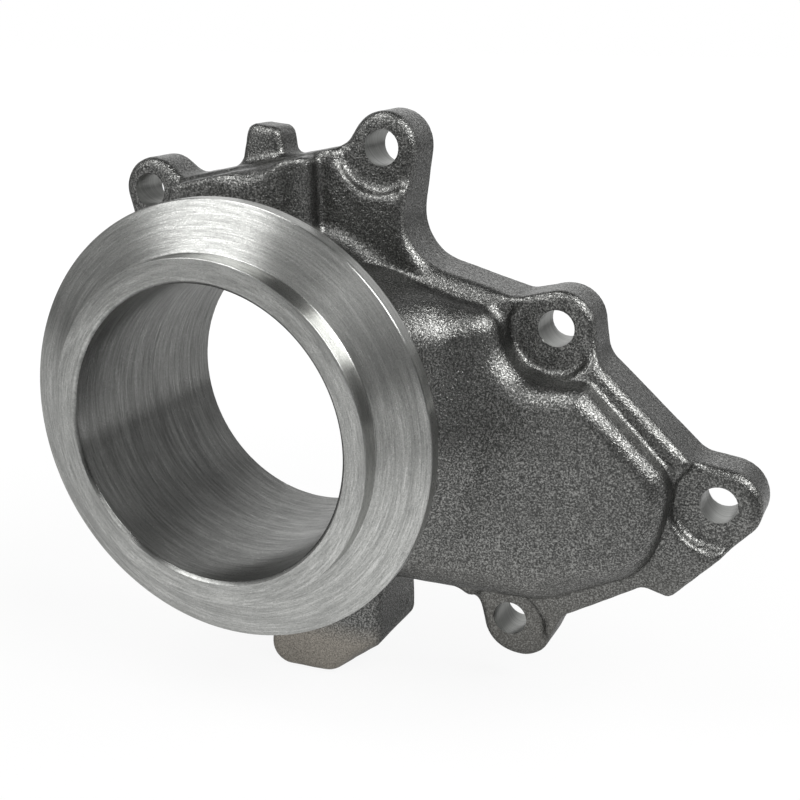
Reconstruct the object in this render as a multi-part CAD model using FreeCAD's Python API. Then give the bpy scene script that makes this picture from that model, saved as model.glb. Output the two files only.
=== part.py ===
import FreeCAD, Part
import math
import os
from FreeCAD import Vector

# Turbocharger exhaust outlet housing, millimetres.
# +X right, +Z up, -Y towards the outlet flange. Zero is the bore centre on the machined
# back face. Every depth below is measured from that back face towards the flange.

# outlet bore, neck and clamp flange
BORE_R = 38.1
NECK_WALL = 6.4
LIP_WALL = 6.3
RIM_WIDTH = 4.0
RIM_OVER_LIP = 12.6
LENGTH = 62.24
LIP_HEIGHT = 5.6
FRONT_CONE = 3.7
REAR_CONE = 3.6
RIM_EDGE = 0.4
BORE_EDGE = 0.8
NECK_FLARE = 16.0

# mounting plate, its bolt ears and their recessed pads
PLATE = 16.0
PLATE_EDGE = 1.6
PLATE_RING = 6.5
PAD_DROP = 3.4
PAD_R = 11.5
PAD_EDGE = 1.0
BOLT_R = 4.69
EAR_WALL = 4.6
BOLTS = [(-46.2, 51.6), (25.6, 66.2), (73.6, 23.6), (116.7, -16.8), (63.7, -58.9)]

# valve cover: rise of its low end over the plate, and how far it climbs towards the neck
COVER_RISE = 9.0
COVER_END = 100.0
COVER_SLOPE = 0.1
COVER_DRAFT = 0.09
COVER_EDGE = 3.6
COVER_GAP = 1.7

# round ends of the cover's outline and corner of the plate below it: x, z, radius
COVER_TIP = (95.8, -13.4, 10.0)
COVER_SIDE = (87.0, -24.5, 17.5)
COVER_HEEL = (72.0, -34.0, 15.5)
PLATE_CORNER = (106.0, -40.3, 2.6)

# lower corners of the foot and upper corners of the lug, given the same way
FOOT_RIGHT = (25.4, -67.2, 4.4)
FOOT_TOE = (12.0, -71.4, 9.4)
FOOT_LEFT = (1.6, -75.0, 6.2)
LUG_LEFT = (-12.9, 68.2, 2.8)
LUG_RIGHT = (-8.9, 67.8, 2.6)

# block behind the flange, foot under it and locating lug on the top edge
BLOCK_RISE = 10.0
BLOCK_EDGE = 2.2
FOOT_EDGE = 2.4
LUG = 10.0
LUG_EDGE = 1.6

# valve pocket behind the cover
WALL = 5.5
POCKET_EDGE = 3.0

NECK_R = BORE_R + NECK_WALL
LIP_R = BORE_R + LIP_WALL
RIM_R = LIP_R + RIM_OVER_LIP
EAR_R = BOLT_R + EAR_WALL
PAD = PLATE - PAD_DROP
BLOCK = PLATE + BLOCK_RISE
COVER_LOW = PLATE + COVER_RISE
BULGE, HOLLOW = 1, -1


def disc(x, z, r, turn=BULGE):
    """One disc of a belt outline; a bulge lies inside the outline and a hollow outside it."""
    return (x, z, r * turn)


def beside(neighbour, degrees, r, gap, turn=HOLLOW):
    """Disc in this direction from its neighbour, with a gap between their rims."""
    reach = abs(neighbour[2]) + r + gap
    angle = math.radians(degrees)
    return disc(neighbour[0] + reach * math.cos(angle), neighbour[1] + reach * math.sin(angle), r, turn)


def by_neck(degrees, reach, r):
    """Disc in this direction from the bore, its centre this far outside the neck."""
    angle = math.radians(degrees)
    return disc((NECK_R + reach) * math.cos(angle), (NECK_R + reach) * math.sin(angle), r)


def behind_wall(d):
    """The disc of the cover's outline drawn in by the wall, for the pocket inside it."""
    return (d[0], d[1], d[2] - WALL)


def ear(number, dx=0.0, dz=0.0, more=0.0):
    """Round end of a bolt ear, a little off its drilled hole as cast."""
    x, z = BOLTS[number]
    return disc(x + dx, z + dz, EAR_R + more)


EARS = [ear(0, 0.3, 0.0, -0.2), ear(1), ear(2, 0.3, 0.0, 0.3), ear(3, 1.2, -0.5, 0.2), ear(4, 2.0, -1.1, 0.8)]

PLATE_OUTLINE = [
    EARS[0],
    beside(EARS[0], 42.0, 5.4, 0.3),
    beside(EARS[1], 159.4, 5.9, 0.4),
    EARS[1],
    beside(EARS[1], -37.2, 14.2, 3.6),
    beside(EARS[2], 128.2, 5.2, 1.4),
    EARS[2],
    beside(EARS[2], -9.3, 8.2, 0.9),
    beside(EARS[3], 102.4, 7.6, 1.1),
    EARS[3],
    PLATE_CORNER,
    beside(PLATE_CORNER, 224.5, 3.9, 1.1),
    beside(EARS[4], 6.4, 5.5, 2.3),
    EARS[4],
    beside(EARS[4], 179.1, 8.0, 0.6),
    disc(0.0, 0.0, NECK_R + PLATE_RING),
    beside(EARS[0], 228.7, 9.5, 3.5),
]

# centres of the round recesses that leave the pads; the last sits off its bolt hole
PADS = BOLTS[:4] + [(BOLTS[4][0] - 0.8, BOLTS[4][1] - 1.5)]

COVER_HOLLOW = disc(PADS[2][0], PADS[2][1], PAD_R + COVER_GAP, HOLLOW)
COVER_OUTLINE = [
    disc(0.0, 0.0, NECK_R - 0.5),
    beside(COVER_HOLLOW, 188.2, 8.4, 0.2, BULGE),
    COVER_HOLLOW,
    beside(COVER_HOLLOW, -67.8, 6.0, 0.9, BULGE),
    COVER_TIP,
    COVER_SIDE,
    COVER_HEEL,
    by_neck(-45.4, 3.94, 14.5),
]

BLOCK_OUTLINE = [
    disc(-29.5, 50.2, 5.3),
    disc(4.6, 57.2, 6.4),
    disc(6.0, 38.0, 5.5),
    disc(-25.0, 30.0, 5.0),
]

FOOT_OUTLINE = [
    disc(4.0, -36.0, 7.0),
    disc(24.0, -34.0, 5.4),
    FOOT_RIGHT,
    FOOT_TOE,
    FOOT_LEFT,
]

LUG_OUTLINE = [
    LUG_LEFT,
    LUG_RIGHT,
    disc(-8.2, 52.0, 4.0),
    disc(-14.0, 52.0, 4.0),
]

POCKET_HOLLOW = disc(PADS[2][0], PADS[2][1], PAD_R + COVER_GAP + WALL, HOLLOW)
POCKET_OUTLINE = [
    disc(30.0, 15.0, 8.0),
    beside(POCKET_HOLLOW, 193.0, 4.2, 1.0, BULGE),
    POCKET_HOLLOW,
    beside(POCKET_HOLLOW, -75.0, 4.0, 0.5, BULGE),
    behind_wall(COVER_TIP),
    behind_wall(COVER_SIDE),
    behind_wall(COVER_HEEL),
    disc(38.0, -32.0, 4.0),
    disc(27.0, -17.0, 6.0),
]


def at(x, z, depth):
    """Point at the given depth in front of the back face."""
    return Vector(x, -depth, z)


def on_disc(d, angle, depth):
    """Point of a disc's rim where the outward direction has this angle."""
    return at(d[0] + d[2] * math.cos(angle), d[1] + d[2] * math.sin(angle), depth)


def belt(discs, depth, grow=0.0):
    """Closed outline of arcs and common tangent lines laid over discs, clockwise from the front."""
    sized = [(x, z, r + grow) for x, z, r in discs]
    count = len(sized)
    normals = []
    for i in range(count):
        a = sized[i]
        b = sized[(i + 1) % count]
        dx = b[0] - a[0]
        dz = b[1] - a[1]
        normals.append(math.atan2(dz, dx) + math.acos((a[2] - b[2]) / math.hypot(dx, dz)))
    edges = []
    for i in range(count):
        d = sized[i]
        turn = BULGE if d[2] > 0 else HOLLOW
        start = normals[i - 1]
        sweep = (turn * (start - normals[i])) % (2 * math.pi)
        middle = start - turn * sweep / 2
        leave = on_disc(d, normals[i], depth)
        edges.append(Part.Arc(on_disc(d, start, depth), on_disc(d, middle, depth), leave).toShape())
        edges.append(Part.makeLine(leave, on_disc(sized[(i + 1) % count], normals[i], depth)))
    return Part.Wire(edges)


def prism(discs, high, inset=0.0):
    """Body standing on a belt outline at the back face, its front drawn in by inset."""
    if inset == 0:
        return Part.Face(belt(discs, 0.0)).extrude(Vector(0, -high, 0))
    return Part.makeLoft([belt(discs, 0.0), belt(discs, high, -inset)], True, True)


def front_edges(body, high):
    """Edges round the flat front of a body that stands this high."""
    return [e for e in body.Edges if abs(e.BoundBox.YMin + high) < 0.01 and e.BoundBox.YLength < 0.01]


def rounded_prism(discs, high, radius):
    """Upright body with the edges of its flat front rounded."""
    body = prism(discs, high)
    return body.makeFillet(radius, front_edges(body, high))


def chamfered_prism(discs, high, width):
    """Upright body with the edges of its flat front broken at 45 degrees."""
    body = prism(discs, high)
    return body.makeChamfer(width, front_edges(body, high))


def cover_front(x):
    """Depth of the valve cover's sloping front at this place."""
    return COVER_LOW + (COVER_END - x) * COVER_SLOPE


def behind_slope(drop):
    """Everything between the back face and the cover's sloping front lowered by drop."""
    reach = 2 * COVER_END
    sides = [(-reach, 0.0), (-reach, cover_front(-reach) - drop), (reach, cover_front(reach) - drop), (reach, 0.0)]
    points = [at(x, -reach, depth) for x, depth in sides]
    return Part.Face(Part.makePolygon(points + points[:1])).extrude(Vector(0, 0, 2 * reach))


def turned(profile):
    """Solid turned about the bore axis from (radius, depth) points."""
    points = [at(r, 0.0, depth) for r, depth in profile]
    return Part.Face(Part.makePolygon(points + points[:1])).revolve(Vector(), Vector(0, 1, 0), 360)


def cylinder(place, r, low, high):
    """Cylinder along the bore direction between two depths."""
    return Part.makeCylinder(r, high - low, at(place[0], place[1], low), Vector(0, -1, 0))


def flange():
    """Neck, conical clamp flange and lip, all turned."""
    lip_back = LENGTH - LIP_HEIGHT
    rim_front = lip_back - FRONT_CONE
    rim_back = rim_front - RIM_WIDTH
    return turned([
        (0.0, 0.0), (NECK_R, 0.0), (NECK_R, rim_back - REAR_CONE), (RIM_R, rim_back),
        (RIM_R, rim_front - RIM_EDGE), (RIM_R - RIM_EDGE, rim_front), (LIP_R, lip_back),
        (LIP_R, LENGTH), (0.0, LENGTH),
    ])


def flare():
    """Concave sweep that carries the valve cover's front up to the neck."""
    outer = NECK_R + NECK_FLARE
    foot = cover_front(outer)
    top = foot + NECK_FLARE
    middle = NECK_FLARE * (1 - math.sqrt(0.5))
    arc = Part.Arc(at(NECK_R, 0, top), at(NECK_R + middle, 0, foot + middle), at(outer, 0, foot))
    sides = Part.makePolygon([arc.EndPoint, at(outer, 0, 0), at(BORE_R, 0, 0), at(BORE_R, 0, top), arc.StartPoint])
    face = Part.Face(Part.Wire([arc.toShape()] + sides.Edges))
    ring = face.revolve(Vector(), Vector(0, 1, 0), 360)
    return ring.common(prism(COVER_OUTLINE, top, COVER_DRAFT * top + COVER_EDGE / 2))


def cover():
    """Valve cover: drafted walls, sloping front, rounded shoulder."""
    high = cover_front(-NECK_R) + PLATE
    body = prism(COVER_OUTLINE, high, COVER_DRAFT * high).common(behind_slope(0.0))
    back = -PLATE - COVER_RISE / 2
    shoulder = [e for e in body.Edges if e.BoundBox.YMax < back and e.BoundBox.XMax > NECK_R]
    return body.makeFillet(COVER_EDGE, shoulder)


def pocket():
    """Valve pocket open to the back face and to the bore, its floor rounded into its walls."""
    body = prism(POCKET_OUTLINE, cover_front(0.0)).common(behind_slope(WALL))
    floor = [e for e in body.Edges if e.BoundBox.YMax < -PLATE / 4]
    tightest = min(r for x, z, r in POCKET_OUTLINE if r > 0)
    return body.makeFillet(min(POCKET_EDGE, 0.9 * tightest), floor)


def housing():
    """The whole casting after machining."""
    plate = rounded_prism(PLATE_OUTLINE, PLATE, PLATE_EDGE)
    pads = chamfered_prism(PLATE_OUTLINE, PAD, PAD_EDGE)
    block = rounded_prism(BLOCK_OUTLINE, BLOCK, BLOCK_EDGE)
    foot = rounded_prism(FOOT_OUTLINE, BLOCK, FOOT_EDGE)
    lug = rounded_prism(LUG_OUTLINE, LUG, LUG_EDGE)
    raised = plate.fuse([block, cover(), flare()])
    raised = raised.cut([cylinder(pad, PAD_R, -1.0, BLOCK + 2.0) for pad in PADS])
    body = raised.fuse([pads, foot, lug, flange()])
    tools = [cylinder(bolt, BOLT_R, -1.0, PAD + 1.0) for bolt in BOLTS]
    tools.append(cylinder((0.0, 0.0), BORE_R, -1.0, LENGTH + 1.0))
    tools.append(Part.makeCone(BORE_R, BORE_R + 2 * BORE_EDGE, 2 * BORE_EDGE,
                               at(0, 0, LENGTH - BORE_EDGE), Vector(0, -1, 0)))
    tools.append(pocket())
    return body.cut(tools).Solids[0]


os.makedirs("parts", exist_ok=True)
shape = housing()
shape.exportStep("parts/outlet_housing.step")
print(shape.ShapeType, shape.isValid(), round(shape.Volume), shape.BoundBox)
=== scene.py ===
"""Looks of a cast and machined turbocharger exhaust outlet housing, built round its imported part.

The casting is the skin of a field of rounded and filleted bodies. The clamp flange with its sleeve
in the bore is turned from a profile. Node materials give the cast skin and the machined faces."""

import math

import bpy
import numpy as np
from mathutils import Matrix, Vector


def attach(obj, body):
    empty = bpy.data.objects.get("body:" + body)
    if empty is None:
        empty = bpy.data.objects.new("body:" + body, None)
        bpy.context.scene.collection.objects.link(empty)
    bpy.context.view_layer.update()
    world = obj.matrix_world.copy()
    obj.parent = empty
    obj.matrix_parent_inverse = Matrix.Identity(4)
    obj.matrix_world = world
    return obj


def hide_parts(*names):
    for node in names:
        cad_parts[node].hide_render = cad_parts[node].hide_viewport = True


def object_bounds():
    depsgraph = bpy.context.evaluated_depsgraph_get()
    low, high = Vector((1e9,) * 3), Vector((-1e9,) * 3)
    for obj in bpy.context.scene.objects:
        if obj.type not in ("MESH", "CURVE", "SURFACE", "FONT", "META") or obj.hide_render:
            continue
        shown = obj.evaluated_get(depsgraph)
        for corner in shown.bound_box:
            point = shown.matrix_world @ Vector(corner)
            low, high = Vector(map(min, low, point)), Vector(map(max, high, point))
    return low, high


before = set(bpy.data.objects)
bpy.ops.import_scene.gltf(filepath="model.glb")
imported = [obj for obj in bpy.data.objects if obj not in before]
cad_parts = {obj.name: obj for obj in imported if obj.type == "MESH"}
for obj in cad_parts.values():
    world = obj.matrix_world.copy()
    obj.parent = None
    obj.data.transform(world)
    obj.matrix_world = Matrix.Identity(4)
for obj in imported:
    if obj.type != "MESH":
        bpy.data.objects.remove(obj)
cad_low, cad_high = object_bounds()

MM = 0.001

# sizes in millimetres; depth is measured from the machined back face towards the flange
BORE_R = 38.1
NECK_R = 44.5
NECK_END = 46.6
LIP_R = 44.4
RIM_R = 57.0
LENGTH = 62.24
LIP_BACK = 56.64
RIM_FRONT = 52.94
RIM_BACK = 48.94
CONE_BACK = 45.34
MOUTH_CHAMFER = 0.8
RIM_CHAMFER = 0.2

# the turned sleeve lines the bore from this depth on, and the casting ends a little way under it
SLEEVE = 30.0
SLEEVE_PROUD = 0.02
SLEEVE_LAP = 1.04
BORE_SINK = 0.05
BORE_CLEAR = 2.4

PLATE = 16.0
PAD = 12.6
RECESS_R = 11.0
RECESS_FLARE = 0.28
BOLT_R = 4.69
EAR_R = 9.29
BLOCK = 26.0
BLOCK_END = 10.0
LUG = 10.0
LUG_MIDDLE = 62.0
WALL = 5.5
BOLTS = [(-46.2, 51.6), (25.6, 66.2), (73.6, 23.6), (116.7, -16.8), (63.7, -58.9)]
RECESSES = BOLTS[:4] + [(62.9, -60.4)]
THIRD = RECESSES[2]

# the valve cover's front: its depth at its end, its slope, and how far it sinks at the top
COVER_LOW = 25.0
COVER_END = 100.0
COVER_SLOPE = 0.1
COVER_SINK = 4.0
COVER_CLIMB_TOP = 22.0

# radii of the rounded edges and of the fillets between the bodies, as they are where nothing adds to them
PLATE_EDGE = 2.0
BLOCK_EDGE = 1.6
BLOCK_END_EDGE = 9.5
RECESS_EDGE = 1.1
FOOT_EDGE = 2.6
LUG_EDGE = 2.6
POCKET_EDGE = 3.0
COVER_SHOULDER = 4.4
COVER_FILLET = 16.5
NECK_FILLET = 4.0
BLOCK_FILLET = 2.2
FOOT_FILLET = 2.2
LUG_FILLET = 2.4
PLATE_FILLET = 1.4
NO_FILLET = 0.02

# how far a cast wall leans in for each millimetre along it, and how deep the mould's waves are
PLATE_DRAFT = 0.012
BLOCK_DRAFT = 0.02
FOOT_DRAFT = 0.01
LUG_DRAFT = 0.08
COVER_DRAFT = 0.12
COVER_STEEPER = 0.11
PLATE_SHRINK = 0.06
MOULD_WAVE = 0.05

# grid of the skin: its ends, its step seen from the front, and its steps in depth in front and at the back
GRID_LOW = (-59.3, -47.38, -83.3)
GRID_HIGH = (129.9, 1.2, 78.1)
GRID_STEP = 0.89
DEPTH_STEP = 0.66
BACK_STEP = 1.28
BACK_ZONE = 10.42
SKIN_SHIFT = 0.02
CAST_SHARP = 50.0
TURNED_SHARP = 40.0
TURNED_STEPS = 288

WHITE = (1.0, 1.0, 1.0)


# outlines seen from the front: belts of arcs and common tangents laid over discs,
# each disc as x, z, radius, with a negative radius where the outline is hollow

def beside(neighbour, degrees, r, gap, turn=-1):
    """Disc in this direction from its neighbour, with a gap between their rims."""
    reach = abs(neighbour[2]) + r + gap
    angle = math.radians(degrees)
    return (neighbour[0] + reach * math.cos(angle), neighbour[1] + reach * math.sin(angle), r * turn)


def ear(number, dx=0.0, dz=0.0, more=0.0):
    """Round end of a bolt ear, a little off its drilled hole as cast."""
    return (BOLTS[number][0] + dx, BOLTS[number][1] + dz, EAR_R + more)


EARS = [
    ear(0, 0.3, 0.0, -0.2), ear(1), ear(2, 0.3, 0.0, 0.3), ear(3, 1.2, -0.5, 0.2), ear(4, 2.0, -1.1, 0.8),
]
CORNER = (106.0, -40.3, 2.6)
PLATE_LINE = [
    EARS[0], beside(EARS[0], 42.0, 5.4, 0.3), beside(EARS[1], 159.4, 5.9, 0.4),
    EARS[1], beside(EARS[1], -37.2, 14.2, 3.6), beside(EARS[2], 128.2, 5.2, 1.4),
    EARS[2], beside(EARS[2], -9.3, 8.2, 0.9), beside(EARS[3], 102.4, 7.6, 1.1),
    EARS[3], CORNER, beside(CORNER, 224.5, 3.9, 1.1), beside(EARS[4], 6.4, 5.5, 2.3),
    EARS[4], beside(EARS[4], 179.1, 8.0, 0.6), (0.0, 0.0, 51.0), beside(EARS[0], 228.7, 9.5, 3.5),
]
COVER_HOLLOW = (THIRD[0] + 0.4, THIRD[1] + 0.2, -12.3)
COVER_LINE = [
    (0.0, 0.0, 44.0), beside(COVER_HOLLOW, 187.6, 8.8, 0.2, 1), COVER_HOLLOW,
    beside(COVER_HOLLOW, -67.8, 6.0, 0.9, 1), (95.8, -13.4, 10.0), (87.0, -24.5, 17.5),
    (72.0, -34.0, 15.5), (34.0, -34.5, 14.5),
]
BLOCK_LINE = [(-29.5, 50.2, 5.3), (7.2, 61.4, 2.6), (5.2, 38.0, 5.3), (-25.0, 30.0, 5.0)]
FOOT_LINE = [(4.0, -36.0, 7.0), (24.0, -34.0, 5.4), (25.4, -67.2, 4.4), (12.0, -71.4, 9.4), (1.6, -75.0, 6.2)]
LUG_LINE = [(-13.6, 68.1, 3.2), (-8.9, 67.4, 3.4), (-8.2, 52.0, 4.0), (-15.2, 52.0, 4.0)]
POCKET_HOLLOW = (THIRD[0], THIRD[1], -18.7)
POCKET_LINE = [
    (30.0, 15.0, 8.0), beside(POCKET_HOLLOW, 193.0, 4.2, 1.0, 1), POCKET_HOLLOW,
    beside(POCKET_HOLLOW, -75.0, 4.0, 0.5, 1), (95.8, -13.4, 4.5), (87.0, -24.5, 12.0),
    (72.0, -34.0, 10.0), (38.0, -32.0, 4.0), (27.0, -17.0, 6.0),
]
THIRD_HOLLOW = (THIRD[0] - 1.0, THIRD[1] - 1.4, 11.5)


def nearer(best, value):
    """Whichever signed distance is smaller in size."""
    return np.where(np.abs(value) < np.abs(best), value, best)


def line_distance(discs, x, z):
    """Signed distance in the plane to a belt outline, negative inside.

    Each tangent line counts by the distance to its nearest point, signed by its outward normal.
    Each arc counts within its own sweep by the distance to the centre less the radius."""
    count = len(discs)
    far = 1e9
    normals = []
    for i in range(count):
        a, b = discs[i], discs[(i + 1) % count]
        dx, dz = b[0] - a[0], b[1] - a[1]
        normals.append(math.atan2(dz, dx) + math.acos((a[2] - b[2]) / math.hypot(dx, dz)))
    best = np.full(np.broadcast(x, z).shape, far)
    for i in range(count):
        a, b = discs[i], discs[(i + 1) % count]
        nx, nz = math.cos(normals[i]), math.sin(normals[i])
        px, pz = a[0] + a[2] * nx, a[1] + a[2] * nz
        qx, qz = b[0] + b[2] * nx, b[1] + b[2] * nz
        length = math.hypot(qx - px, qz - pz)
        ux, uz = (qx - px) / length, (qz - pz) / length
        along = np.clip((x - px) * ux + (z - pz) * uz, 0.0, length)
        side = (x - px) * nx + (z - pz) * nz
        best = nearer(best, np.copysign(np.hypot(x - px - along * ux, z - pz - along * uz), side))
        turn = 1.0 if a[2] > 0 else -1.0
        sweep = (turn * (normals[i - 1] - normals[i])) % (2 * math.pi)
        angle = np.arctan2(turn * (z - a[1]), turn * (x - a[0]))
        turned_by = (turn * (normals[i - 1] - angle)) % (2 * math.pi)
        arc = turn * (np.hypot(x - a[0], z - a[1]) - abs(a[2]))
        best = nearer(best, np.where(turned_by <= sweep, arc, far))
    return best


def both(a, b, r):
    """Intersection of two bodies whose shared convex edge is rounded with radius r."""
    return np.minimum(np.maximum(a, b), -r) + np.hypot(np.maximum(a + r, 0), np.maximum(b + r, 0))


def either(a, b, r):
    """Union of two bodies whose shared concave edge is filleted with radius r."""
    return np.maximum(np.minimum(a, b), r) - np.hypot(np.maximum(r - a, 0), np.maximum(r - b, 0))


def ease(value, start, end):
    """Smooth step from 0 at the start to 1 at the end, which may lie below it."""
    t = np.clip((value - start) / (end - start), 0.0, 1.0)
    return t * t * (3 - 2 * t)


# bodies of the casting, each as a distance in millimetres that is negative inside

def on_strip(x, z):
    """Share from 0 to 1 of lying on the plate's upper strip, between the second and third ears."""
    return ease(x, 32.0, 40.0) * ease(x, 64.0, 56.0) * ease(z, 16.0, 24.0)


def on_right_side(x, z):
    """Share from 0 to 1 of lying on the plate's right side, between the third and fourth ears."""
    return ease(x, 74.0, 82.0) * ease(x, 110.0, 104.0) * ease(z, -12.0, -4.0)


def plate_body(x, depth, z, plate_side):
    """Mounting plate, whose front edge is rounder at its left end, on the strip and on the right."""
    edge = PLATE_EDGE + ease(x, -30.0, -40.0) + 1.6 * on_strip(x, z) + 1.5 * on_right_side(x, z)
    return both(plate_side + PLATE_SHRINK + PLATE_DRAFT * depth, depth - PLATE, edge)


def block_body(x, depth, z):
    """Block behind the flange: a drafted belt whose right end is rounded like a lying cylinder."""
    edge = BLOCK_EDGE + 3.6 * ease(x, -17.0, -9.0) * ease(x, 4.0, -4.0)
    draft = BLOCK_DRAFT * (depth - BLOCK / 2)
    block = both(line_distance(BLOCK_LINE, x, z) + draft, depth - BLOCK, edge)
    return both(block, both(x - BLOCK_END, depth - BLOCK, BLOCK_END_EDGE), 1.2)


def recess_body(x, depth, z, centre):
    """Flaring round room in front of a bolt pad. The third one is wider at its lower left."""
    wall = np.hypot(x - centre[0], z - centre[1]) - (RECESS_R + RECESS_FLARE * (depth - PAD))
    floor_round = 1.6
    if centre == THIRD:
        wall = np.minimum(wall, np.hypot(x - THIRD_HOLLOW[0], z - THIRD_HOLLOW[1]) - THIRD_HOLLOW[2])
        floor_round = 2.4
    return both(wall, PAD - depth, floor_round)


def cover_front(x, z):
    """Depth of the valve cover's front, which slopes to its end and sinks towards the top ears."""
    sunk = ease(z, -8.0, 20.0) * ease(x, 84.0, 64.0)
    return COVER_LOW + (COVER_END - x) * COVER_SLOPE - COVER_SINK * sunk


def cover_body(x, depth, z):
    """Valve cover: drafted walls, a front that climbs to the neck in a wide fillet, and a shoulder.

    The climb starts at the neck's wall, which counts as upright above the bore's middle. The walls
    stand steeper beside the third ear and at the right. The shoulder is rounder beside the ear,
    towards the neck at the top, and along the bottom."""
    climb = np.hypot(x, z - np.clip(z, 0.0, COVER_CLIMB_TOP)) - NECK_R
    front = np.maximum(either(depth - cover_front(x, z), climb, COVER_FILLET), depth - NECK_END)
    by_ear = ease(np.hypot(x - THIRD[0], z - THIRD[1]), 26.0, 15.0)
    upright = np.maximum(0.8 * by_ear, ease(x, 72.0, 84.0) * ease(z, -32.0, -20.0))
    draft = (COVER_DRAFT - COVER_STEEPER * upright) * (depth - PLATE / 2)
    by_neck = ease(x, 60.0, 46.0) * ease(z, 4.0, 16.0)
    shoulder = COVER_SHOULDER + 1.2 * by_ear + 5.0 * by_neck + 5.5 * ease(z, -26.0, -42.0)
    return both(line_distance(COVER_LINE, x, z) + draft, front, shoulder)


def mould_waves(x, depth, z):
    """Slow shallow waves that a sand mould leaves: one sine of place times another."""
    first = np.sin(0.61 * x + 0.37 * z + 0.9)
    second = np.sin(0.43 * z - 0.29 * depth + 0.24 * x)
    return MOULD_WAVE * first * second


def casting_field(x, depth, z):
    """Distance in millimetres to the housing's skin without the turned flange, negative inside.

    Bodies standing on belt outlines are joined with fillets, recessed at the pads, and then cut
    sharply by the bolt holes, the bore, the valve pocket and the back face. A fillet fades where
    one body leaves the other's edge, and the edge of a recess is rounder where it meets the side."""
    radius = np.hypot(x, z)
    plate_side = line_distance(PLATE_LINE, x, z)
    body = plate_body(x, depth, z, plate_side)
    block_fillet = np.clip(-0.8 * plate_side, NO_FILLET, BLOCK_FILLET)
    body = either(body, block_body(x, depth, z), block_fillet)
    body = either(body, np.maximum(radius - NECK_R, depth - NECK_END), NECK_FILLET)
    recess_edge = RECESS_EDGE + 1.4 * ease(plate_side, -6.0, -3.0)
    for centre in RECESSES:
        body = both(body, -recess_body(x, depth, z, centre), recess_edge)
    cover_fillet = np.clip(0.4 * (radius - NECK_R - 1.5), NO_FILLET, PLATE_FILLET + 2.0 * on_strip(x, z))
    body = either(body, cover_body(x, depth, z), cover_fillet)
    foot_edge = FOOT_EDGE + 1.8 * ease(x, 14.0, 24.0)
    foot = both(line_distance(FOOT_LINE, x, z) + FOOT_DRAFT * depth, depth - BLOCK, foot_edge)
    body = either(body, foot, FOOT_FILLET)
    lug = both(line_distance(LUG_LINE, x, z) + LUG_DRAFT * (z - LUG_MIDDLE), depth - LUG, LUG_EDGE)
    body = either(body, lug, LUG_FILLET)
    body = body + mould_waves(x, depth, z)
    for bolt_x, bolt_z in BOLTS:
        body = np.maximum(body, BOLT_R - np.hypot(x - bolt_x, z - bolt_z))
    bore = BORE_R + BORE_SINK * np.clip(depth - SLEEVE, 0.0, 1.0)
    bore = np.where(depth < SLEEVE + SLEEVE_LAP, bore, BORE_R + BORE_CLEAR)
    body = np.maximum(body, bore - radius)
    pocket = both(line_distance(POCKET_LINE, x, z), depth - (cover_front(x, z) - WALL), POCKET_EDGE)
    body = np.maximum(body, -pocket)
    return np.maximum(body, -depth)


# meshes

def mesh_of(name, corners, faces, sharp_degrees):
    """Object from corner points in millimetres and faces, smooth but for edges over the angle."""
    mesh = bpy.data.meshes.new(name)
    mesh.from_pydata((corners * MM).tolist(), [], faces.tolist())
    mesh.update()
    mesh.shade_smooth()
    mesh.set_sharp_from_angle(angle=math.radians(sharp_degrees))
    made = bpy.data.objects.new(name, mesh)
    bpy.context.scene.collection.objects.link(made)
    return made


def field_at(field, points):
    """Field at points in x, y, z, where depth is the negative of y."""
    return field(points[:, 0], -points[:, 1], points[:, 2])


def normals_at(field, points):
    """Unit normals of a field, from its change over a short way along each axis."""
    slope = np.empty_like(points)
    for q in range(3):
        shift = np.zeros(3)
        shift[q] = SKIN_SHIFT
        slope[:, q] = field_at(field, points + shift) - field_at(field, points - shift)
    return slope / (np.linalg.norm(slope, axis=1)[:, None] + 1e-12)


def crossings(field, values, axes, axis):
    """Points where the skin crosses the grid's edges along one axis.

    The sign changes of the field's values name the edges. Each point is closed in on by drawing a
    straight line between the values at both ends, kept off the ends by a small share. Returns the
    edges' grid places, the points, and whether each edge starts inside."""
    low, high = [slice(None)] * 3, [slice(None)] * 3
    low[axis], high[axis] = slice(0, -1), slice(1, None)
    a, b = values[tuple(low)], values[tuple(high)]
    where = np.argwhere((a < 0) != (b < 0))
    va, vb = a[tuple(where.T)], b[tuple(where.T)]
    inside_first = va < 0
    start = np.column_stack([axes[q][where[:, q]] for q in range(3)])
    step = axes[axis][where[:, axis] + 1] - axes[axis][where[:, axis]]
    low_t, high_t = np.zeros(len(where)), np.ones(len(where))
    for _ in range(5):
        margin = 0.02 * (high_t - low_t)
        t = np.clip(low_t + (high_t - low_t) * va / (va - vb), low_t + margin, high_t - margin)
        points = start.copy()
        points[:, axis] += t * step
        vt = field_at(field, points)
        left = (vt < 0) == (va < 0)
        low_t, va = np.where(left, t, low_t), np.where(left, vt, va)
        high_t, vb = np.where(left, high_t, t), np.where(left, vb, vt)
    points = start.copy()
    points[:, axis] += (low_t + (high_t - low_t) * va / (va - vb)) * step
    return where, points, inside_first


def cells_round(where, axis, shape):
    """Numbers of the four cells round each grid edge, in turn."""
    u, v = (axis + 1) % 3, (axis + 2) % 3
    ring = []
    for du, dv in ((-1, -1), (0, -1), (0, 0), (-1, 0)):
        cell = where.copy()
        cell[:, u] += du
        cell[:, v] += dv
        ring.append(np.ravel_multi_index(cell.T, shape))
    return np.column_stack(ring)


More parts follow.
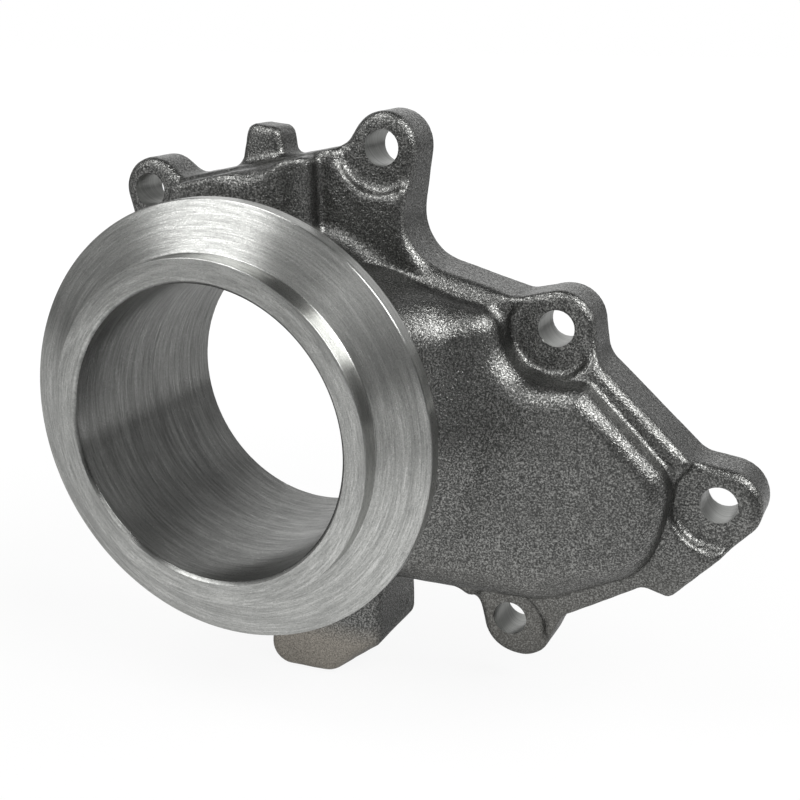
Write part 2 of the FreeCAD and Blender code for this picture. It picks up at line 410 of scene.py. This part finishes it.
def meeting_points(points, normals, place, count):
    """Point of each cell that lies nearest to all its tangent planes, by least squares.

    A small pull to the middle of the cell's crossings settles it where the planes are alike."""
    middle = np.column_stack([np.bincount(place, points[:, q]) / count for q in range(3)])
    off = np.einsum("ij,ij->i", normals, points - middle[place])
    pull = np.column_stack([np.bincount(place, normals[:, q] * off) for q in range(3)])
    square = np.empty((len(count), 3, 3))
    for i in range(3):
        for j in range(3):
            square[:, i, j] = np.bincount(place, normals[:, i] * normals[:, j])
        square[:, i, i] += 0.05 * count
    return middle + np.linalg.solve(square, pull[:, :, None])[:, :, 0]


def skin(field, axes):
    """Closed skin of a field on a box grid, as corner points and four-cornered faces.

    Each grid edge that crosses the skin gives a point and a normal. Each cell puts one corner
    where the tangent planes of its edges meet best, so rounds stay round and cut edges sharp,
    and each crossing edge gives one face over its four cells."""
    xs, ys, zs = axes
    values = field(xs[:, None, None], -ys[None, :, None], zs[None, None, :])
    shape = np.array(values.shape) - 1
    faces, all_points, all_normals, all_cells = [], [], [], []
    for axis in range(3):
        where, points, inside_first = crossings(field, values, axes, axis)
        ring = cells_round(where, axis, shape)
        faces.append(np.where(inside_first[:, None], ring, ring[:, ::-1]))
        all_points.append(np.repeat(points, 4, axis=0))
        all_normals.append(np.repeat(normals_at(field, points), 4, axis=0))
        all_cells.append(ring.ravel())
    points, normals, cells = map(np.concatenate, (all_points, all_normals, all_cells))
    used, place = np.unique(cells, return_inverse=True)
    corners = meeting_points(points, normals, place, np.bincount(place).astype(float))
    index = np.column_stack(np.unravel_index(used, shape))
    lowest = np.column_stack([axes[q][index[:, q]] for q in range(3)])
    highest = np.column_stack([axes[q][index[:, q] + 1] for q in range(3)])
    corners = np.clip(corners, lowest, highest)
    corners = np.clip(corners, np.array(cad_low) / MM, np.array(cad_high) / MM)
    return corners, np.searchsorted(used, np.concatenate(faces))


def rounded_profile(points, steps=5):
    """Closed outline of (radius, depth, rounding) corners, each rounded by a circular arc."""
    made = []
    count = len(points)
    for i in range(count):
        before, here, after = (np.array(points[(i + k) % count][:2]) for k in (-1, 0, 1))
        r = points[i][2]
        if r == 0:
            made.append(here)
            continue
        a = (before - here) / np.linalg.norm(before - here)
        b = (after - here) / np.linalg.norm(after - here)
        half = math.acos(float(np.clip(a @ b, -1, 1))) / 2
        centre = here + (a + b) / np.linalg.norm(a + b) * r / math.sin(half)
        first = here + a * r / math.tan(half) - centre
        last = here + b * r / math.tan(half) - centre
        bend = math.acos(float(np.clip(first @ last / r**2, -1, 1)))
        for t in np.linspace(0.0, 1.0, steps):
            arm = first * math.sin((1 - t) * bend) + last * math.sin(t * bend)
            made.append(centre + arm / math.sin(bend))
    return np.array(made)


def turned(name, profile, steps, sharp_degrees):
    """Ring swept by carrying a closed (radius, depth) profile round the bore axis."""
    angle = np.linspace(0.0, 2 * math.pi, steps, endpoint=False)[:, None]
    r, depth = profile[:, 0][None, :], profile[:, 1][None, :]
    rings = np.stack([r * np.cos(angle), -depth + 0 * angle, r * np.sin(angle)], axis=2)
    n = profile.shape[0]
    i, j = np.meshgrid(np.arange(steps), np.arange(n), indexing="ij")
    a = i * n + j
    b = i * n + (j + 1) % n
    c = (i + 1) % steps * n + (j + 1) % n
    d = (i + 1) % steps * n + j
    faces = np.stack([a, b, c, d], axis=2).reshape(-1, 4)
    return mesh_of(name, rings.reshape(-1, 3), faces, sharp_degrees)


# materials

def opaque(colour):
    """Plain colour with full alpha, or a node's output as it is."""
    return (*colour, 1.0) if isinstance(colour, tuple) else colour


class Graph:
    """Short calls that add linked nodes to one material or world."""

    def __init__(self, owner):
        owner.use_nodes = True
        self.nodes = owner.node_tree.nodes
        self.links = owner.node_tree.links
        self.nodes.clear()

    def put(self, socket, value):
        """Link a node's output to a socket, or set a plain value on it."""
        if isinstance(value, bpy.types.NodeSocket):
            self.links.new(value, socket)
        else:
            socket.default_value = value

    def fill(self, sockets, values):
        """Link or set several of a node's sockets by name."""
        for key, value in values.items():
            self.put(sockets[key], value)

    def output(self, kind, shader):
        """Output node of this kind, fed by a shader."""
        node = self.nodes.new(kind)
        self.put(node.inputs["Surface"], shader.outputs[0])

    def place(self):
        """Object coordinates, in metres."""
        return self.nodes.new("ShaderNodeTexCoord").outputs["Object"]

    def light_path(self):
        """What kind of ray meets the surface."""
        return self.nodes.new("ShaderNodeLightPath").outputs

    def math(self, kind, a, b=0.0):
        """Arithmetic of two numbers."""
        node = self.nodes.new("ShaderNodeMath")
        node.operation = kind
        self.put(node.inputs[0], a)
        self.put(node.inputs[1], b)
        return node.outputs[0]

    def times(self, a, b):
        """Product of two numbers."""
        return self.math("MULTIPLY", a, b)

    def total(self, *parts):
        """Sum of values, each by its share."""
        value, share = parts[0]
        made = self.times(value, share)
        for value, share in parts[1:]:
            made = self.math("ADD", made, self.times(value, share))
        return made

    def split(self, vector):
        """The x, y and z of a vector."""
        node = self.nodes.new("ShaderNodeSeparateXYZ")
        self.put(node.inputs[0], vector)
        return node.outputs

    def join(self, *parts):
        """Vector from its x, y and z."""
        node = self.nodes.new("ShaderNodeCombineXYZ")
        for socket, value in zip(node.inputs, parts):
            self.put(socket, value)
        return node.outputs[0]

    def against(self, kind, vector, fixed):
        """Distance or dot product of a vector and a fixed one."""
        node = self.nodes.new("ShaderNodeVectorMath")
        node.operation = kind
        self.put(node.inputs[0], vector)
        self.put(node.inputs[1], fixed)
        return node.outputs["Value"]

    def noise(self, vector, scale, detail, roughness):
        """Cloudy noise from 0 to 1."""
        node = self.nodes.new("ShaderNodeTexNoise")
        self.fill(node.inputs, {"Vector": vector, "Scale": scale, "Detail": detail, "Roughness": roughness})
        return node.outputs["Fac"]

    def ramp(self, value, stops):
        """Colour ramp of (place, colour) stops."""
        node = self.nodes.new("ShaderNodeValToRGB")
        self.put(node.inputs["Fac"], value)
        elements = node.color_ramp.elements
        while len(elements) < len(stops):
            elements.new(0.5)
        for element, (place, colour) in zip(elements, stops):
            element.position = place
            element.color = opaque(colour)
        return node.outputs["Color"]

    def span(self, value, low, high, to_low, to_high):
        """Value carried from one range to another, clamped."""
        node = self.nodes.new("ShaderNodeMapRange")
        self.fill(node.inputs, {"Value": value, "From Min": low, "From Max": high})
        self.fill(node.inputs, {"To Min": to_low, "To Max": to_high})
        return node.outputs["Result"]

    def mix(self, share, a, b):
        """Colour a, with this share of colour b."""
        node = self.nodes.new("ShaderNodeMix")
        node.data_type = "RGBA"
        self.put(node.inputs["Factor"], share)
        self.put(node.inputs[6], opaque(a))
        self.put(node.inputs[7], opaque(b))
        return node.outputs[2]

    def bump(self, height, strength, distance):
        """Normal tipped by a height."""
        node = self.nodes.new("ShaderNodeBump")
        self.fill(node.inputs, {"Height": height, "Strength": strength, "Distance": distance})
        return node.outputs["Normal"]


def new_material(name):
    """Empty node material, its graph and its surface shader."""
    material = bpy.data.materials.new(name)
    g = Graph(material)
    shader = g.nodes.new("ShaderNodeBsdfPrincipled")
    g.output("ShaderNodeOutputMaterial", shader)
    return material, g, shader.inputs


def axis_radius(g, place):
    """Distance from the bore axis."""
    x, y, z = g.split(place)
    return g.math("SQRT", g.math("ADD", g.times(x, x), g.times(z, z)))


def round_streaks(g, place, across, around):
    """Coordinates that draw noise out along circles round the bore axis.

    The first is the radius plus a share of depth, scaled by how fine the streaks are. The others
    are the direction from the axis, scaled by how often a streak breaks off."""
    x, y, z = g.split(place)
    radius = axis_radius(g, place)
    return g.join(g.times(g.math("ADD", radius, g.times(y, 1.37)), across),
                  g.times(g.math("DIVIDE", x, radius), around),
                  g.times(g.math("DIVIDE", z, radius), around))


def cast_skin():
    """Sand-cast iron: dark and grainy, with shot-blasted grains that catch the light.

    Painted light lightens the lower right, and the foot's front is rubbed to a warmer, paler tone."""
    material, g, surface = new_material("cast iron skin")
    place = g.place()
    x, y, z = g.split(place)
    grain = g.noise(place, 2200.0, 2.0, 0.6)
    sand = g.noise(place, 900.0, 2.0, 0.5)
    patch = g.noise(place, 70.0, 3.0, 0.55)
    dark, middle, light = (0.075, 0.076, 0.073), (0.155, 0.156, 0.151), (0.38, 0.38, 0.367)
    tone = g.ramp(grain, [(0.37, dark), (0.5, middle), (0.64, light)])
    tone = g.mix(g.span(patch, 0.35, 0.7, 0.0, 0.25), tone, (0.10, 0.10, 0.096))
    # painted light: the cover's lower right is lightened as the floor's reflection would light it
    painted_lower_light = g.times(g.span(z, -0.030, -0.058, 0.0, 0.5), g.span(x, 0.030, 0.045, 0.0, 1.0))
    tone = g.mix(painted_lower_light, tone, (0.175, 0.169, 0.154))
    rubbed = g.times(g.span(z, -0.063, -0.070, 0.0, 1.0), g.span(y, -0.022, -0.0252, 0.0, 1.0))
    rubbed = g.times(rubbed, g.span(grain, 0.3, 0.7, 0.4, 1.0))
    tone = g.mix(rubbed, tone, (0.42, 0.385, 0.335))
    g.fill(surface, {
        "Base Color": tone, "Metallic": 1.0, "Roughness": g.span(grain, 0.37, 0.63, 0.43, 0.26),
        "Normal": g.bump(g.total((grain, 0.6), (sand, 0.7)), 1.0, 0.00025),
    })
    return material


def turned_metal():
    """Turned iron: fine rings of tool marks that catch light along circles, with painted shade that darkens
    the bore in streaks.
    """
    material, g, surface = new_material("turned iron")
    place = g.place()
    x, y, z = g.split(place)
    dark, light = (0.31, 0.314, 0.303), (0.71, 0.714, 0.693)
    fine = g.noise(round_streaks(g, place, 5200.0, 45.0), 1.0, 2.0, 0.6)
    rings = g.noise(round_streaks(g, place, 1900.0, 6.0), 1.0, 3.0, 0.6)
    speck = g.noise(place, 3600.0, 1.0, 0.5)
    marks = g.total((fine, 0.3), (rings, 0.42), (speck, 0.28))
    tone = g.mix(g.span(marks, 0.38, 0.62, 0.0, 1.0), dark, light)
    wide = g.noise(round_streaks(g, place, 430.0, 1.6), 1.0, 3.0, 0.6)
    tone = g.mix(g.span(wide, 0.35, 0.65, 0.42, 0.0), tone, tuple(0.7 * c for c in dark))
    cloud = g.noise(place, 60.0, 3.0, 0.5)
    tone = g.mix(g.span(cloud, 0.35, 0.75, 0.0, 0.18), tone, tuple(0.8 * c for c in dark))
    # painted shade: the bore is darkened towards black, in streaks along its circles
    bore_shade_bands = g.noise(round_streaks(g, place, 800.0, 1.6), 1.0, 3.0, 0.55)
    in_bore = g.span(axis_radius(g, place), 0.03825, 0.03865, 1.0, 0.0)
    tone = g.mix(g.times(g.span(bore_shade_bands, 0.35, 0.65, 0.56, 0.36), in_bore), tone, (0.0, 0.0, 0.0))
    g.fill(surface, {
        "Base Color": tone, "Metallic": 1.0, "Roughness": g.span(marks, 0.3, 0.7, 0.37, 0.23),
        "Normal": g.bump(marks, 0.2, 0.00005), "Tangent": g.join(z, 0.0, g.times(x, -1.0)),
        "Anisotropic": 0.7, "Anisotropic Rotation": 0.25,
    })
    return material


def milled_metal():
    """Milled and drilled iron: the back face and the bolt holes."""
    material, g, surface = new_material("milled iron")
    place = g.place()
    fine = g.noise(round_streaks(g, place, 1500.0, 4.0), 1.0, 3.0, 0.6)
    cloud = g.noise(place, 90.0, 3.0, 0.5)
    tone = g.mix(g.span(fine, 0.3, 0.7, 0.0, 1.0), (0.26, 0.265, 0.255), (0.40, 0.405, 0.39))
    tone = g.mix(g.span(cloud, 0.4, 0.7, 0.0, 0.3), tone, (0.22, 0.222, 0.21))
    g.fill(surface, {
        "Base Color": tone, "Metallic": 0.9, "Roughness": g.span(fine, 0.3, 0.7, 0.42, 0.30),
        "Normal": g.bump(fine, 0.2, 0.00005),
    })
    return material


turned_face = turned_metal()


def housing_casting():
    """The casting, with milled faces at its back and in its bolt holes, and a turned bore."""
    widths = np.arange(GRID_LOW[0], GRID_HIGH[0], GRID_STEP)
    depths = np.concatenate([np.arange(GRID_LOW[1], -BACK_ZONE - DEPTH_STEP / 2, DEPTH_STEP),
                             np.arange(-BACK_ZONE, GRID_HIGH[1], BACK_STEP)])
    heights = np.arange(GRID_LOW[2], GRID_HIGH[2], GRID_STEP)
    corners, faces = skin(casting_field, (widths, depths, heights))
    made = mesh_of("housing_casting", corners, faces, CAST_SHARP)
    for material in (cast_skin(), milled_metal(), turned_face):
        made.data.materials.append(material)
    x, y, z = corners[faces].mean(axis=1).T
    milled = y > -0.05
    for bolt_x, bolt_z in BOLTS:
        milled |= np.abs(np.hypot(x - bolt_x, z - bolt_z) - BOLT_R) < 0.12
    in_bore = np.abs(np.hypot(x, z) - BORE_R) < 0.2
    finish = np.where(in_bore, 2, np.where(milled, 1, 0)).astype(np.int32)
    made.data.polygons.foreach_set("material_index", finish)
    return made


def clamp_flange():
    """The turned clamp flange with its lip, its front and rear cones and its sleeve in the bore."""
    sleeve_r = BORE_R - SLEEVE_PROUD
    profile = rounded_profile([
        (sleeve_r, SLEEVE + 0.1, 0.0), (sleeve_r, LENGTH - MOUTH_CHAMFER, 0.25),
        (BORE_R + MOUTH_CHAMFER, LENGTH, 0.25), (LIP_R, LENGTH, 0.3), (LIP_R, LIP_BACK, 0.5),
        (RIM_R - RIM_CHAMFER, RIM_FRONT, 0.08), (RIM_R, RIM_FRONT - RIM_CHAMFER, 0.08),
        (RIM_R, RIM_BACK, 0.3), (NECK_R - 0.8, CONE_BACK - 0.23, 0.0), (NECK_R - 1.6, SLEEVE, 0.0),
        (BORE_R + 0.6, SLEEVE, 0.0),
    ])
    made = turned("clamp_flange", profile, TURNED_STEPS, TURNED_SHARP)
    made.data.materials.append(turned_face)
    return made


casting = housing_casting()
flange = clamp_flange()
for piece, slot in ((casting, "housing"), (flange, "housing")):
    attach(piece, "root")
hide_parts("outlet_housing")


# floor, light and camera, in metres

FLOOR = cad_low.z
FLOOR_HALF = 6.0
SHADED_FLOOR = (0.34, -0.27, FLOOR)
NEAR_FLOOR = (0.02, -0.14, FLOOR)
DARK_WALL = (0.78, -0.62, 0.0)
BACKDROP = (-0.34, 0.92, 0.17)
CENTRE = Vector((0.03, -0.02, 0.0))
CAMERA_PLACE = Vector((158.05, -296.93, 97.17)) * MM
CAMERA_AIM = Vector((53.04, -62.24, 16.52)) * MM
LENS = 54.467


def pale_floor():
    """Plain floor: matt with the object's shadow near it, and white to the camera further away.

    Seen in metal, its near part in front glows a little, and a painted shade makes it dark at the front
    right."""
    h = FLOOR_HALF
    mesh = bpy.data.meshes.new("floor")
    mesh.from_pydata([(-h, -h, FLOOR), (h, -h, FLOOR), (h, h, FLOOR), (-h, h, FLOOR)], [], [(0, 1, 2, 3)])
    made = bpy.data.objects.new("floor", mesh)
    bpy.context.scene.collection.objects.link(made)
    material = bpy.data.materials.new("pale floor")
    g = Graph(material)
    place = g.place()
    ray = g.light_path()
    matt = g.nodes.new("ShaderNodeBsdfDiffuse")
    # painted shade: a dark spot on the floor at the front right, seen mostly in the metal's reflections
    shaded = g.span(g.against("DISTANCE", place, SHADED_FLOOR), 0.12, 0.27, 1.0, 0.0)
    g.put(matt.inputs["Color"], g.mix(shaded, (0.69, 0.69, 0.69), (0.06, 0.06, 0.06)))
    glow = g.nodes.new("ShaderNodeEmission")
    g.fill(glow.inputs, {"Color": opaque(WHITE), "Strength": 1.04})
    near = g.span(g.against("DISTANCE", place, NEAR_FLOOR), 0.06, 0.16, 0.5, 0.0)
    far = g.span(g.against("DISTANCE", place, (0.0, 0.0, 0.0)), 0.15, 0.35, 0.88, 1.0)
    blend = g.nodes.new("ShaderNodeMixShader")
    g.put(blend.inputs[0], g.math("MAXIMUM", g.times(ray["Is Camera Ray"], far),
                                  g.times(ray["Is Glossy Ray"], near)))
    g.put(blend.inputs[1], matt.outputs[0])
    g.put(blend.inputs[2], glow.outputs[0])
    g.output("ShaderNodeOutputMaterial", blend)
    mesh.materials.append(material)
    return made


def studio_world():
    """Studio of grey walls under a dark ceiling, darker at the front right.

    The camera sees plain white, and so does metal that faces the backdrop behind the object."""
    world = bpy.data.worlds.new("studio")
    g = Graph(world)
    ray = g.light_path()
    toward = g.nodes.new("ShaderNodeTexCoord").outputs["Generated"]
    x, y, z = g.split(toward)
    walls = g.span(z, 0.4, 0.8, 0.35, 0.03)
    dim = g.span(g.against("DOT_PRODUCT", toward, DARK_WALL), 0.72, 0.9, 1.0, 0.12)
    behind = g.span(g.against("DOT_PRODUCT", toward, BACKDROP), 0.72, 0.9, 0.0, 1.0)
    seen_white = g.math("MAXIMUM", g.times(ray["Is Glossy Ray"], behind), ray["Is Camera Ray"])
    back = g.nodes.new("ShaderNodeBackground")
    strength = g.math("MAXIMUM", g.times(walls, dim), seen_white)
    g.fill(back.inputs, {"Color": opaque(WHITE), "Strength": strength})
    g.output("ShaderNodeOutputWorld", back)
    bpy.context.scene.world = world


def look(made, place, target):
    """Place a lamp or camera and turn it to look at a point."""
    made.location = place
    made.rotation_euler = (target - place).to_track_quat("-Z", "Y").to_euler()
    bpy.context.scene.collection.objects.link(made)


def soft_light(name, place, size, tall, watts):
    """Soft box that looks at the middle of the object."""
    lamp = bpy.data.lights.new(name, "AREA")
    lamp.shape = "RECTANGLE"
    lamp.size = size
    lamp.size_y = tall
    lamp.energy = watts
    look(bpy.data.objects.new(name, lamp), Vector(place), CENTRE)


def photo_camera():
    """Camera at the photograph's viewing angle."""
    camera = bpy.data.cameras.new("camera")
    camera.lens = LENS
    camera.sensor_width = 36.0
    camera.clip_start = 0.01
    eye = bpy.data.objects.new("camera", camera)
    look(eye, CAMERA_PLACE, CAMERA_AIM)
    bpy.context.scene.camera = eye


floor = pale_floor()
studio_world()
soft_light("upper left box", (-0.30, -0.35, 0.88), 0.5, 0.5, 3.8)
soft_light("front left box", (-0.47, -0.70, 0.46), 0.45, 0.45, 1.55)
soft_light("right box", (0.73, -0.16, 0.72), 0.9, 0.5, 9.5)
soft_light("front box", (0.23, -0.86, 0.47), 0.3, 0.3, 0.3)
photo_camera()
bpy.context.scene.view_settings.view_transform = "Standard"
